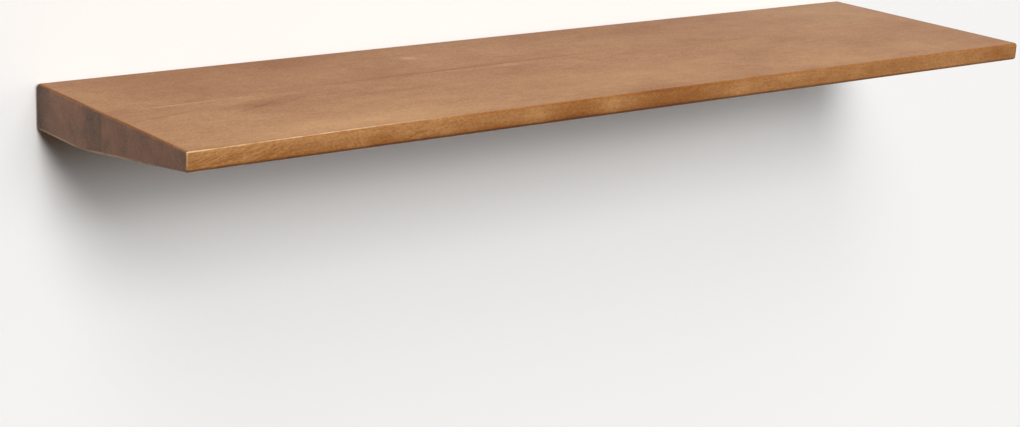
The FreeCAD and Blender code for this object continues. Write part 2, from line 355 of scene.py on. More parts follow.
def stain_tone(tree, bent):
    """How light the stain lies, about 0 to 1, before rings and figure."""
    tone = MIDDLE
    for label, stretch, across, detail, weight in PATTERNS:
        drawn = node(tree, "VectorMath", {0: bent, 1: (1 / stretch, 1, 1)}, operation="MULTIPLY")
        drawn = node(tree, "TexNoise", {
            "Vector": drawn, "Scale": 1 / across, "Detail": detail,
            "Roughness": NOISE_ROUGHNESS}, label=label)
        drawn = node(tree, "Math", {0: drawn, 1: MIDDLE}, operation="SUBTRACT")
        tone = node(tree, "Math", {0: drawn, 1: weight, 2: tone}, operation="MULTIPLY_ADD")
    return tone


print("stain patterns:", [row[0] for row in PATTERNS])

# %% Growth rings, each closing with a thin dark line
RING = 13
RING_DEPTH = 0.012
RING_SHADES = [(0.0, grey(0.3)), (0.2, grey(0.0)), (0.7, grey(0.1)), (0.92, grey(1.0))]


def ringed(tree, tone, bent, heart):
    """Darken the tone along rings round the tree's heart (y, z), as faces cut through them."""
    spoke = node(tree, "VectorMath", {0: bent, 1: (0, *heart)}, operation="SUBTRACT")
    spoke = node(tree, "VectorMath", {0: spoke, 1: (0, 1, 1)}, operation="MULTIPLY")
    radius = node(tree, "VectorMath", {0: spoke}, take="Value", operation="LENGTH")
    year = node(tree, "Math", {0: radius, 1: RING}, operation="DIVIDE")
    year = node(tree, "Math", {0: year}, operation="FRACT")
    line = node(tree, "ValToRGB", {0: year}, ramp=RING_SHADES)
    return node(tree, "Math", {0: line, 1: -RING_DEPTH, 2: tone}, operation="MULTIPLY_ADD")


print("a ring every", RING, "mm")

# %% [markdown]
# Figure. No two boards look alike: one has a dark line running with the grain, another a pale patch or
# a small knot. Noise alone would put such marks anywhere. Each is given its place instead, as a soft
# ellipsoid in the solid wood that lightens or darkens it, so the faces that cut it all show it. The
# same soft marks also paint shade along some edges of the boards.

# %% Soft marks in the solid wood, for figure and for painted shade
THIN = 6
STRAIGHT = (0, 0, 0)


def soft_spot(tree, place, centre, half, turn):
    """One at the centre of an ellipsoid, fading to nothing at its skin."""
    spot = node(tree, "Mapping", {
        "Vector": place, "Location": centre, "Rotation": [math.radians(angle) for angle in turn],
        "Scale": half}, vector_type="TEXTURE")
    spot = node(tree, "VectorMath", {0: spot}, take="Value", operation="LENGTH")
    return node(tree, "MapRange", {"Value": spot, "From Min": 1, "From Max": 0},
                interpolation_type="SMOOTHSTEP")


def figured_and_shaded(tree, tone, place, swayed, figure_and_shade):
    """Add a board's figure and painted shade to the tone. Thin lines keep their place, broad ones sway
    with the grain.
    """
    for centre, half, turn, strength in figure_and_shade:
        around = place if min(half) < THIN else swayed
        spot = soft_spot(tree, around, centre, half, turn)
        tone = node(tree, "Math", {0: spot, 1: strength, 2: tone}, operation="MULTIPLY_ADD")
    return tone


print("marks thinner than", THIN, "mm keep their place")

# %% Slanting streaks, where the grain dives through the front edge
SLANT_GRAIN = (14, 1.5, 1.5)


def slanted(tree, tone, place, slants):
    """Add short slanting streaks to the tone inside soft patches."""
    for centre, half, turn, strength in slants:
        drawn = node(tree, "Mapping", {
            "Vector": place, "Rotation": [math.radians(angle) for angle in turn],
            "Scale": SLANT_GRAIN}, vector_type="TEXTURE")
        drawn = node(tree, "TexNoise", {"Vector": drawn, "Scale": 1, "Detail": 2})
        drawn = node(tree, "Math", {0: drawn, 1: MIDDLE}, operation="SUBTRACT")
        patch = soft_spot(tree, place, centre, half, STRAIGHT)
        drawn = node(tree, "Math", {0: drawn, 1: patch}, operation="MULTIPLY")
        tone = node(tree, "Math", {0: drawn, 1: strength, 2: tone}, operation="MULTIPLY_ADD")
    return tone


print("slanting streaks are", SLANT_GRAIN[0], "by", SLANT_GRAIN[1], "mm")

# %% End grain, which drinks more stain
END_SHADES = [(0.0, linear("#453329")), (1.0, linear("#B98364"))]
END_FACING = (0.75, 0.98)
END_CONTRAST = 1.25
END_BLOTCH = 24
BLOTCH_WEIGHT = 0.65
END_DEPTH = 0.91


def end_grain(tree, place, tone, bands):
    """Where a face looks along the grain, and its dark blotchy colour, in bands (y mm, tone)."""
    facing = node(tree, "TexCoord", take="Normal")
    facing = node(tree, "SeparateXYZ", {0: facing}, take="X")
    facing = node(tree, "Math", {0: facing}, operation="ABSOLUTE")
    end = node(tree, "MapRange", {
        "Value": facing, "From Min": END_FACING[0], "From Max": END_FACING[1]},
        interpolation_type="SMOOTHSTEP")
    band = node(tree, "SeparateXYZ", {0: place}, take="Y")
    band = node(tree, "MapRange", {"Value": band, "From Min": FRONT / MM, "From Max": 0})
    stops = [(1 - y / (FRONT / MM), grey(shade)) for y, shade in bands]
    band = node(tree, "ValToRGB", {0: band}, ramp=stops)
    shade = node(tree, "Math", {0: tone, 1: END_CONTRAST, 2: band}, operation="MULTIPLY_ADD")
    blotch = node(tree, "TexNoise", {
        "Vector": place, "Scale": 1 / END_BLOTCH, "Detail": 4,
        "Roughness": NOISE_ROUGHNESS}, label="end blotch")
    shade = node(tree, "Math", {0: blotch, 1: BLOTCH_WEIGHT, 2: shade}, operation="MULTIPLY_ADD")
    shade = node(tree, "Math", {0: shade, 1: END_DEPTH}, operation="SUBTRACT")
    return end, node(tree, "ValToRGB", {0: shade}, ramp=END_SHADES)


print("end blotches are about", END_BLOTCH, "mm across")

# %% Painted highlights and sheen
# Painted highlights on the sharpest edges, more here and less there, and a painted sheen in broad
# blooms
PAINTED_LIGHT_COLOUR = linear("#D8B68E")
GLINT_PATCH = 11
GLINT_NOISE = (0.35, 0.6)
GLINT_RANGE = (0.35, 1.1)


def paint_highlights_and_sheen(tree, colour, place, highlights_and_sheen):
    """Paint light into the colour: patchy painted highlights along rounded edges, an even painted sheen
    in broad blooms.
    """
    patchy = node(tree, "TexNoise", {"Vector": place, "Scale": 1 / GLINT_PATCH, "Detail": 2})
    patchy = node(tree, "MapRange", {
        "Value": patchy, "From Min": GLINT_NOISE[0], "From Max": GLINT_NOISE[1],
        "To Min": GLINT_RANGE[0], "To Max": GLINT_RANGE[1]})
    for centre, half, turn, strength in highlights_and_sheen:
        painted_light = soft_spot(tree, place, centre, half, turn)
        if min(half) < THIN:
            painted_light = node(tree, "Math", {0: painted_light, 1: patchy}, operation="MULTIPLY")
        painted_light = node(tree, "Math", {0: painted_light, 1: strength}, operation="MULTIPLY", use_clamp=True)
        colour = node(tree, "Mix", {0: painted_light, 6: colour, 7: PAINTED_LIGHT_COLOUR}, take=2, data_type="RGBA")
    return colour


# The painted highlight lines come and go over this length
print("rubbed lines come and go over", GLINT_PATCH, "mm")

# %% Stained hardwood, put together
STAIN_SHADES = [(0.0, linear("#5F2C0B")), (0.35, linear("#8F5827")), (0.5, linear("#9D6A3D")),
                (1.0, linear("#D29F66"))]
LACQUER_IOR = 1.5
LACQUER_SHINE = 0.115
LACQUER_ROUGH = (0.48, 0.40)
PORE_STRENGTH = 0.3
PORE_DEPTH = 0.2 * MM


def stained_wood(name, heart, lean, seed, figure_and_shade, slants, highlights_and_sheen, bands):
    """Stained wood under satin lacquer: warm, blotchy and soft-grained, with a low even sheen, plus
    painted shade, highlights and sheen.
    """
    material, tree, place = start_material(name)
    bent, swayed = grain(tree, place, lean, seed)
    plain = stain_tone(tree, bent)
    tone = ringed(tree, plain, bent, heart)
    tone = figured_and_shaded(tree, tone, place, swayed, figure_and_shade)
    tone = slanted(tree, tone, place, slants)
    colour = node(tree, "ValToRGB", {0: tone}, ramp=STAIN_SHADES)
    end, end_colour = end_grain(tree, place, plain, bands)
    colour = node(tree, "Mix", {0: end, 6: colour, 7: end_colour}, take=2, data_type="RGBA")
    colour = paint_highlights_and_sheen(tree, colour, place, highlights_and_sheen)
    rough = node(tree, "MapRange", {
        "Value": tone, "To Min": LACQUER_ROUGH[0], "To Max": LACQUER_ROUGH[1]})
    bump = node(tree, "Bump", {"Strength": PORE_STRENGTH, "Distance": PORE_DEPTH, "Height": tone})
    shader = node(tree, "BsdfPrincipled", {
        "Base Color": colour, "Roughness": rough, "Normal": bump, "IOR": LACQUER_IOR,
        "Specular IOR Level": LACQUER_SHINE})
    node(tree, "OutputMaterial", {"Surface": shader})
    return material


print("lacquer roughness", LACQUER_ROUGH)

# %% The back board's own wood, its painted shade and painted highlights
# A mark has a centre and half size in millimetres, a turn in degrees, and a strength, pale above zero
BACK_FIGURE_AND_SHADE = [
    # Painted shade along the back arris, where the shelf meets the wall, and along the upper rims of
    # both ends
    ((0, -1.5, 17), (600, 3, 3), STRAIGHT, -0.40),
    ((456, -60, 18.2), (3.0, 110, 2.4), STRAIGHT, -0.90),
    ((-456.4, -60, 17.9), (1.8, 110, 1.8), STRAIGHT, -0.30),
    # A dark line that runs with the grain near the glue line, and its halo
    ((-100, -103, 18.5), (230, 1.6, 25), (0, 0, 1.5), -0.26),
    ((-100, -101, 18.5), (190, 7, 25), (0, 0, 1.5), -0.08),
    # Broad dark and pale patches on top
    ((-300, -15, 18.5), (230, 50, 40), STRAIGHT, -0.15),
    ((-435, -100, 18.5), (60, 40, 30), STRAIGHT, 0.05),
    ((120, -20, 18.5), (330, 55, 40), STRAIGHT, -0.12),
    ((300, -60, 18.5), (180, 35, 40), STRAIGHT, -0.06),
    # A small pale knot
    ((-127, -50, 18.5), (13, 7, 10), STRAIGHT, 0.26),
]
# A painted sheen, a pale bloom towards the back right corner, which both boards share
PAINTED_SHEEN = ((420, -30, 19.5), (360, 140, 9), STRAIGHT, 0.12)
BACK_HIGHLIGHTS_AND_SHEEN = [
    PAINTED_SHEEN,
    # A painted highlight along the lower rim of the left end, under the flat part and under the bend
    ((-456.6, -42, -18.5), (1.9, 90, 1.8), STRAIGHT, 0.85),
    ((-456.6, -108, -14.4), (1.9, 45, 1.8), (-math.degrees(slope), 0, 0), 0.85),
]
BACK_BANDS = [(-244, 0.1), (-112, 0.1), (-98, 0.16), (-76, 0.46), (-29, 0.46), (-12, 0.14), (0, 0.06)]
BACK_HEART = (-420, -60)
back_wood = stained_wood("stained_hardwood_back", BACK_HEART, lean=0.6, seed=137, figure_and_shade=BACK_FIGURE_AND_SHADE,
                         slants=[], highlights_and_sheen=BACK_HIGHLIGHTS_AND_SHEEN, bands=BACK_BANDS)
back_board.data.materials.append(back_wood)
print(back_wood.name, "has", len(BACK_FIGURE_AND_SHADE), "marks and", len(back_wood.node_tree.nodes), "nodes")

# %% The front board's figure and painted shade
ARRIS_Y = -243.1
ARRIS_Z = 17.6
FRONT_FIGURE_AND_SHADE = [
    # Painted shade along the lower front edge and darker towards the bottom of the front, on the ends'
    # upper rims and round the right front corner
    ((-60, -243.2, 3.0), (1200, 3.2, 2.8), STRAIGHT, -0.46),
    ((-110, -244, 2), (380, 4, 9), STRAIGHT, -0.25),
    ((456, -180, 18.2), (3.0, 110, 2.4), STRAIGHT, -0.90),
    ((-456.4, -180, 17.9), (1.8, 100, 1.8), STRAIGHT, -0.30),
    ((457, -243.6, 10), (3.2, 3.0, 14), STRAIGHT, -0.80),
    # Painted shade along the front arris, most in the middle
    ((0, ARRIS_Y, ARRIS_Z), (1400, 2.6, 2.6), STRAIGHT, -0.13),
    ((-20, ARRIS_Y, ARRIS_Z), (200, 2.6, 2.6), STRAIGHT, -0.07),
    # A pale line beside the glue line, and dark flecks of curly grain behind the left front corner
    ((-385, -116, 18.5), (85, 2.2, 25), (0, 0, 0.5), 0.16),
    ((-320, -142, 18.5), (50, 16, 12), (0, 0, 12), -0.20),
    ((-340, -148, 18.5), (40, 2.4, 12), (0, 0, 22), -0.16),
    ((-304, -140, 18.5), (34, 2.4, 12), (0, 0, 18), -0.15),
    ((-410, -142, 18.5), (56, 2.6, 20), (0, 0, 14), -0.14),
    ((-215, -148, 18.5), (70, 10, 12), (0, 0, 2), -0.10),
    # Pale and dark patches on top, near the front
    ((-310, -228, 18.5), (190, 36, 14), (0, 0, 2), 0.18),
    ((-120, -205, 18.5), (900, 80, 30), STRAIGHT, 0.10),
    ((280, -230, 18.5), (170, 32, 14), STRAIGHT, 0.09),
    ((-10, -240, 18.5), (60, 14, 6), STRAIGHT, -0.12),
    # Patches along the front edge, from left to right
    ((-385, -244, 15), (150, 4, 6), STRAIGHT, 0.10),
    ((-290, -244, 7), (22, 5, 9), STRAIGHT, -0.15),
    ((-140, -244, 8), (18, 5, 12), STRAIGHT, 0.13),
    ((-100, -244, 9), (40, 5, 16), STRAIGHT, -0.27),
    ((-62, -244, 9), (13, 5, 14), STRAIGHT, 0.10),
    ((8, -244, 9), (66, 5, 16), STRAIGHT, -0.25),
    ((90, -244, 9), (34, 5, 16), STRAIGHT, 0.06),
    ((160, -244, 15), (70, 4, 6), STRAIGHT, 0.10),
    ((345, -244, 8), (70, 5, 14), STRAIGHT, 0.12),
    ((430, -244, 9), (34, 5, 16), STRAIGHT, -0.14),
]
print("the front board has", len(FRONT_FIGURE_AND_SHADE), "figure_and_shade")

# %% The front board's slanting grain, painted highlights and sheen, and finish
FRONT_SLANTS = [
    ((-415, -244, 10), (75, 8, 14), (0, -15, 0), 0.9),
    ((-250, -244, 10), (60, 8, 14), (0, -12, 0), 0.5),
]
FRONT_HIGHLIGHTS_AND_SHEEN = [
    PAINTED_SHEEN,
    # A breath of the same painted sheen all along the front edge
    ((0, -244, 9), (800, 8, 18), STRAIGHT, 0.04),
    # Painted highlights on the left front corner, the arris beside it, where the line climbs a little,
    # and the left rim
    ((-457, ARRIS_Y, ARRIS_Z), (70, 1.0, 1.0), STRAIGHT, 0.9),
    ((-330, -242, 18.3), (270, 1.0, 1.0), (0, -0.35, 0.57), 1.15),
    ((-456.4, -243.4, 14), (1.3, 1.3, 14), STRAIGHT, 0.8),
    ((-456.6, -130, -11.5), (1.9, 85, 1.8), (-math.degrees(slope), 0, 0), 0.85),
]
FRONT_BANDS = [(-244, 0.32), (-183, 0.38), (-122, 0.42), (0, 0.42)]
FRONT_HEART = (190, -40)
front_wood = stained_wood("stained_hardwood_front", FRONT_HEART, lean=-1.1, seed=411, figure_and_shade=FRONT_FIGURE_AND_SHADE,
                          slants=FRONT_SLANTS, highlights_and_sheen=FRONT_HIGHLIGHTS_AND_SHEEN, bands=FRONT_BANDS)
front_board.data.materials.append(front_wood)
print(front_wood.name, "has", len(front_wood.node_tree.nodes), "nodes")

# %% [markdown]
# Raw wood inside. The mortise for the wall plate and the rod bores were cut after staining, so they
# show pale, dry wood. The stained wood could be lightened for this, but a short rough grain with the
# scallops of the cutter reads better in a hole that is only seen in passing.

# %% Raw sawn wood
RAW_SHADES = [(0.25, linear("#8E6A45")), (0.75, linear("#CDAA7D"))]
FIBRE = 1.6
FIBRE_STRETCH = 8
SCALLOP = 2.6
SCALLOP_WOBBLE = 1.5
SCALLOP_WEIGHT = 0.3
SCALLOP_STRENGTH = 0.5
SCALLOP_DEPTH = 0.3 * MM
RAW_ROUGH = (0.95, 0.75)
RAW_IOR = 1.5
RAW_SHINE = 0.15
# A wave texture of scale 1 repeats after this length, so dividing by a real spacing gives its scale
WAVE_LENGTH = 2 * math.pi / 20


def raw_wood(name):
    """Dry cut hardwood: pale, rough, with fine fibre and the scallops of the cutter."""
    material, tree, place = start_material(name)
    fibre = node(tree, "VectorMath", {0: place, 1: (1 / FIBRE_STRETCH, 1, 1)}, operation="MULTIPLY")
    fibre = node(tree, "TexNoise", {
        "Vector": fibre, "Scale": 1 / FIBRE, "Detail": 4, "Roughness": NOISE_ROUGHNESS})
    scallop = node(tree, "TexWave", {
        "Vector": place, "Scale": WAVE_LENGTH / SCALLOP, "Distortion": SCALLOP_WOBBLE, "Detail": 1},
        take="Fac", bands_direction="X")
    colour = node(tree, "ValToRGB", {0: fibre}, ramp=RAW_SHADES)
    height = node(tree, "Math", {0: scallop, 1: SCALLOP_WEIGHT, 2: fibre}, operation="MULTIPLY_ADD")
    rough = node(tree, "MapRange", {"Value": fibre, "To Min": RAW_ROUGH[0], "To Max": RAW_ROUGH[1]})
    bump = node(tree, "Bump", {
        "Strength": SCALLOP_STRENGTH, "Distance": SCALLOP_DEPTH, "Height": height})
    shader = node(tree, "BsdfPrincipled", {
        "Base Color": colour, "Roughness": rough, "Normal": bump, "IOR": RAW_IOR,
        "Specular IOR Level": RAW_SHINE})
    node(tree, "OutputMaterial", {"Surface": shader})
    return material


bare_wood = raw_wood("raw_sawn_hardwood")
print(bare_wood.name, "with scallops every", SCALLOP, "mm")

# %% [markdown]
# Round pieces. Rods, screws, inserts and the drill bits that make their holes are all turned shapes.
# They could be spun from a drawn profile. Here each one starts as a disc that is extruded along its
# axis and resized at every step, which reads like a lathe hand's list of diameters.

# %% A lathe
ROUND_SIDES = 48
AWAY_FROM_WALL = (0, -1, 0)
UP = (0, 0, 1)


def turned(name, start, axis, steps, sides=ROUND_SIDES):
    """A round piece along an axis, from (distance, radius) steps in millimetres."""
    start = Vector(start)
    axis = Vector(axis)
    distance, radius = steps[0]
    let_go()
    bpy.ops.mesh.primitive_circle_add(vertices=sides, radius=radius * MM, fill_type="NGON",
                                      location=start + axis * distance * MM,
                                      rotation=axis.to_track_quat("Z", "Y").to_euler())
    piece = named(name)
    settle(piece)
    open_mesh(piece, "FACE")
    bpy.ops.mesh.select_all(action="SELECT")
    for next_distance, next_radius in steps[1:]:
        step = axis * (next_distance - distance) * MM
        bpy.ops.mesh.extrude_region_move(TRANSFORM_OT_translate={"value": step})
        growth = next_radius / radius
        bpy.ops.transform.resize(value=(growth, growth, growth),
                                 center_override=start + axis * next_distance * MM)
        distance = next_distance
        radius = next_radius
    bpy.ops.mesh.select_all(action="SELECT")
    bpy.ops.mesh.normals_make_consistent(inside=False)
    close_mesh()
    return piece


print("round pieces have", ROUND_SIDES, "sides")


# %% A modifier applied, and a cut made with one
def apply_modifier(piece, kind, **settings):
    """Add one modifier with its settings and apply it."""
    modifier = piece.modifiers.new(kind.title(), kind)
    for name, value in settings.items():
        setattr(modifier, name, value)
    hold(piece)
    bpy.ops.object.modifier_apply(modifier=modifier.name)


def cut(piece, tool):
    """Take the tool's shape out of the piece and leave the tool's finish on the cut."""
    apply_modifier(piece, "BOOLEAN", operation="DIFFERENCE", solver="EXACT",
                   material_mode="TRANSFER", object=tool)
    bpy.data.objects.remove(tool)


print("pieces to cut:", back_board.name, "and", front_board.name)

# %% [markdown]
# The holes. A router sinks a shallow mortise in the back edge for the wall plate, a long drill makes
# four bores that run across the glue line into the front board, and two stepped holes from below take
# the threaded inserts. They could be inset and extruded face by face, but the bores cross both boards,
# so each tool is modelled, carries the raw wood finish, and is taken away with a Boolean, and the cut
# faces keep that finish.

# %% Where the tools go
OVERRUN = 1.0
PLATE_CLEARANCE = 0.5 * MM
PLATE_CORNER = 6 * MM
CORNER_FACETS = 8
DRILL = [(-OVERRUN, 6.3), (131, 6.3)]
STEP_DRILL = [(-OVERRUN, 6.55), (1.2, 6.55), (1.2, 5.05), (15.5, 5.05)]
INSERT_DEPTH_FROM_WALL = 40 * MM
plate_low, plate_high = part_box("wall_plate")


def middle_x(name):
    """Where along the shelf the middle of a measured solid lies."""
    low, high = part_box(name)
    return (low.x + high.x) / 2


rod_xs = [middle_x("support_rod_%d" % number) for number in (1, 2, 3, 4)]
lock_xs = {side: middle_x("lock_insert_" + side) for side in ("left", "right")}
print("rods at", [round(x / MM, 1) for x in rod_xs], "mm, inserts at",
      [round(x / MM, 1) for x in lock_xs.values()], "mm")


# %% Mortise, bores and insert holes
def plate_block(name, grow, corner, back):
    """A flat bar on the wall with rounded corners, as large as the plate grown all round."""
    low = Vector((plate_low.x - grow, plate_low.y - grow, plate_low.z - grow))
    high = Vector((plate_high.x + grow, back, plate_high.z + grow))
    let_go()
    bpy.ops.mesh.primitive_cube_add(size=1, location=(low + high) / 2, scale=high - low)
    piece = named(name)
    settle(piece)
    for x in (low.x, high.x):
        for z in (low.z, high.z):
            open_mesh(piece)
            pick(piece, "edges", lambda co: near(co.x, x) and near(co.z, z))
            bpy.ops.mesh.bevel(offset=corner, segments=CORNER_FACETS, affect="EDGES")
            close_mesh()
    return piece


def wood_cut(board, tool):
    """Cut a board with a tool that leaves raw wood."""
    tool.data.materials.append(bare_wood)
    cut(board, tool)
    print(board.name, "cut to", len(board.data.polygons), "faces")


mortise_corner = PLATE_CORNER + PLATE_CLEARANCE
wood_cut(back_board, plate_block("mortise", PLATE_CLEARANCE, mortise_corner, OVERRUN * MM))
for x in rod_xs:
    for board in (back_board, front_board):
        wood_cut(board, turned("drill", (x, 0, 0), AWAY_FROM_WALL, DRILL))
for x in lock_xs.values():
    insert_hole = (x, -INSERT_DEPTH_FROM_WALL, UNDERSIDE)
    wood_cut(back_board, turned("step_drill", insert_hole, UP, STEP_DRILL))

# %% Shade the boards and hang them on the shelf's body
SMOOTH_ANGLE = math.radians(30)


def shade(piece):
    """Shade a piece smooth over soft angles, and keep its flat faces flat."""
    hold(piece)
    bpy.ops.object.shade_smooth_by_angle(angle=SMOOTH_ANGLE)
    apply_modifier(piece, "WEIGHTED_NORMAL", mode="FACE_AREA", keep_sharp=True)


for board in (back_board, front_board):
    shade(board)
    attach(board, "shelf")
    print(board.name, len(board.data.polygons), "faces,", len(board.data.materials), "finishes")
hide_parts("back_board")
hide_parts("front_board")

# %% [markdown]
# Powder coat. The wall plate is sprayed with dry powder and baked, which leaves a soft black skin with
# a faint orange-peel ripple. A plain black would look like a hole in the picture, so the ripple breaks
# up what it reflects, and a slow cloud of lighter black keeps large areas alive.

# %% Black powder coat
COAT_SHADES = [(0.3, linear("#1A1A1B")), (0.7, linear("#242425"))]
COAT_ROUGH = (0.42, 0.62)
COAT_IOR = 1.5
COAT_SHINE = 0.5
PEEL = 1.1
PEEL_STRENGTH = 0.35
PEEL_DEPTH = 0.2 * MM
CLOUD = 24


def powder_coat(name):
    """Baked black powder: nearly black, half matt, with a fine ripple that breaks up reflections."""
    material, tree, place = start_material(name)
    peel = node(tree, "TexNoise", {"Vector": place, "Scale": 1 / PEEL, "Detail": 2})
    cloud = node(tree, "TexNoise", {"Vector": place, "Scale": 1 / CLOUD, "Detail": 3})
    colour = node(tree, "ValToRGB", {0: cloud}, ramp=COAT_SHADES)
    rough = node(tree, "MapRange", {"Value": peel, "To Min": COAT_ROUGH[0], "To Max": COAT_ROUGH[1]})
    bump = node(tree, "Bump", {"Strength": PEEL_STRENGTH, "Distance": PEEL_DEPTH, "Height": peel})
    shader = node(tree, "BsdfPrincipled", {
        "Base Color": colour, "Roughness": rough, "Normal": bump, "IOR": COAT_IOR,
        "Specular IOR Level": COAT_SHINE})
    node(tree, "OutputMaterial", {"Surface": shader})
    return material


black_coat = powder_coat("black_powder_coat")
print(black_coat.name, "ripples every", PEEL, "mm")

# %% [markdown]
# Turned metals. The rods are turned and zinc plated, bright and slightly cold. The screws are steel
# with a black oxide skin, and the inserts are bare brass. All three come off a lathe, so one recipe
# makes them: rings round the axis, a little stain, and a satin shine that both of them disturb. A
# smooth mirror would be easier, but it hides how the pieces were made.

# %% Zinc, black oxide and brass
STAIN_SPOT = 9
STAIN_STOPS = (0.3, 0.7)
RING_WEAR = 0.35
RING_WOBBLE = 0.6
RING_STRENGTH = 0.2
RING_RELIEF = 0.05 * MM
METAL_WEAR = (0.3, 1.0)


def turned_metal(name, dark, light, rough, axis, pitch):
    """Lathe-turned metal: fine rings round the axis, a little stain, and a satin shine."""
    material, tree, place = start_material(name)
    ring = node(tree, "TexWave", {
        "Vector": place, "Scale": WAVE_LENGTH / pitch, "Distortion": RING_WOBBLE, "Detail": 2,
        "Detail Scale": 2}, take="Fac", bands_direction=axis)
    stain = node(tree, "TexNoise", {"Vector": place, "Scale": 1 / STAIN_SPOT, "Detail": 4})
    stops = zip(STAIN_STOPS, (linear(dark), linear(light)))
    colour = node(tree, "ValToRGB", {0: stain}, ramp=stops)
    wear = node(tree, "Math", {0: ring, 1: RING_WEAR, 2: stain}, operation="MULTIPLY_ADD")
    wear = node(tree, "MapRange", {
        "Value": wear, "From Min": METAL_WEAR[0], "From Max": METAL_WEAR[1],
        "To Min": rough[0], "To Max": rough[1]})
    bump = node(tree, "Bump", {"Strength": RING_STRENGTH, "Distance": RING_RELIEF, "Height": ring})
    shader = node(tree, "BsdfPrincipled", {
        "Base Color": colour, "Roughness": wear, "Normal": bump, "Metallic": 1.0})
    node(tree, "OutputMaterial", {"Surface": shader})
    return material


# A real cutter leaves a ring every tenth of a millimetre or so. These are drawn coarser, to show.
bright_zinc = turned_metal("bright_zinc_plate", "#AEB3B8", "#D4D7D6", (0.24, 0.4), axis="Y", pitch=0.8)
black_oxide = turned_metal("black_oxide_steel", "#2B2B2D", "#47474A", (0.36, 0.52), axis="Z", pitch=0.6)
turned_brass = turned_metal("turned_brass", "#A8833C", "#D2AE63", (0.22, 0.38), axis="Z", pitch=0.6)
print("metal finishes:", [metal.name for metal in (bright_zinc, black_oxide, turned_brass)])

# %% [markdown]
# The wall plate is a flat steel bar with rounded corners. Two holes at stud spacing and two nearer the
# ends take wall screws, countersunk from the front. Four more are countersunk from behind for the
# screws that hold the rods, so nothing stands between the plate and the wall. A drawn outline with
# holes could be thickened, but only a turned tool cuts the cones of the countersinks.

# %% Soften and dress a finished piece
EDGE_FACETS = 2


def soften(piece, width):
    """Break the sharp edges of a piece by a small width."""
    apply_modifier(piece, "BEVEL", width=width, segments=EDGE_FACETS, limit_method="ANGLE",
                   angle_limit=SMOOTH_ANGLE, use_clamp_overlap=True)


def dress(piece, material, body, slot, *nodes):
    """Give a finished piece its material and its body, and hide the measured solids that it stands for.
    The slot is not used.
    """
    piece.data.materials.clear()
    piece.data.materials.append(material)
    shade(piece)
    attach(piece, body)
    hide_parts(*nodes)
    print(piece.name, len(piece.data.polygons), "faces")


print("edges sharper than", round(math.degrees(SMOOTH_ANGLE)), "degrees are softened")

# %% Wall plate
STUD_SPACING = 406.4 * MM
PLUG_SPACING = 730 * MM
WALL_HOLE = [(-OVERRUN, 4.1), (0.35, 2.75), (2.5, 2.75), (4.9, 5.15), (6, 6.9)]
ROD_SCREW_HOLE = [(-OVERRUN, 7.1), (3, 3.1), (4.8, 3.1), (6, 4.3)]
COAT_EDGE = 0.35 * MM
plate = plate_block("bracket_plate", 0, PLATE_CORNER, 0)
soften(plate, COAT_EDGE)
for spacing in (STUD_SPACING, PLUG_SPACING):
    for x in (-spacing / 2, spacing / 2):
        cut(plate, turned("wall_hole", (x, 0, 0), AWAY_FROM_WALL, WALL_HOLE))
for x in rod_xs:
    cut(plate, turned("rod_screw_hole", (x, 0, 0), AWAY_FROM_WALL, ROD_SCREW_HOLE))
dress(plate, black_coat, "bracket", "plate_coating", "wall_plate")

# %% [markdown]
# The four rods carry the shelf. Each is one turned bar with a lead-in chamfer at the tip and a tapped
# hole at the root. An array modifier could repeat it, but then four rods would be one piece. It is made
# once and copied along the plate, each copy with its own mesh.


# %% Support rods
def copy_to(piece, name, offset):
    """Copy a piece, with its own mesh, and shift the copy's mesh."""
    hold(piece)
    bpy.ops.object.duplicate()
    copy = named(name)
    copy.location = offset
    settle(copy)
    return copy


def along_plate(first, name):
    """A piece made for the first rod, and a copy of it for each of the others."""
    pieces = [first]
    for number, x in enumerate(rod_xs[1:], 2):
        pieces.append(copy_to(first, "%s_%d" % (name, number), (x - rod_xs[0], 0, 0)))
    return pieces


ROD = [(0, 5.7), (0.3, 6.0), (118.5, 6.0), (120, 4.5)]
ROD_TAP = [(-OVERRUN, 3.05), (15, 3.05), (16.5, 0.5)]
ROD_EDGE = 0.25 * MM
rod_root = Vector((rod_xs[0], plate_low.y, 0))
first_rod = turned("bracket_rod_1", rod_root, AWAY_FROM_WALL, ROD)
cut(first_rod, turned("rod_tap", rod_root, AWAY_FROM_WALL, ROD_TAP))
soften(first_rod, ROD_EDGE)
for number, rod in enumerate(along_plate(first_rod, "bracket_rod"), 1):
    dress(rod, bright_zinc, "bracket", "rod_zinc", "support_rod_%d" % number)

# %% [markdown]
# Flat-head screws hold the rods from behind. Only their heads show, flush with the back of the plate:
# a cone, a thin rim and a hexagon socket. The socket could be inset and pushed in. A six-sided tool
# with a pointed end, cut away like a drill, also gives the cone that a real socket ends in.

# %% Rod screws
ROD_SCREW = [(0, 5.65), (0.25, 5.8), (2.95, 3.0), (17.2, 3.0), (18, 2.2)]
# A key's corners lie at its width across the flats over the square root of three
KEY_FOUR = 4 / math.sqrt(3)
SOCKET_FOUR = [(-OVERRUN, KEY_FOUR), (2.4, KEY_FOUR), (3.2, 0.2)]
SCREW_EDGE = 0.12 * MM
screw_root = Vector((rod_xs[0], 0, 0))
first_screw = turned("bracket_rod_screw_1", screw_root, AWAY_FROM_WALL, ROD_SCREW)
cut(first_screw, turned("socket", screw_root, AWAY_FROM_WALL, SOCKET_FOUR, sides=6))
soften(first_screw, SCREW_EDGE)
for number, screw in enumerate(along_plate(first_screw, "bracket_rod_screw"), 1):
    dress(screw, black_oxide, "bracket", "screw_steel", "rod_screw_%d" % number)

# %% [markdown]
# Threaded inserts sit in the underside, flange flush with the wood. They are short brass bushes with a
# lead-in chamfer at the mouth of the thread. A thread inside would never be seen behind the set screw,
# so the bore is plain and the turned outside gets the care.

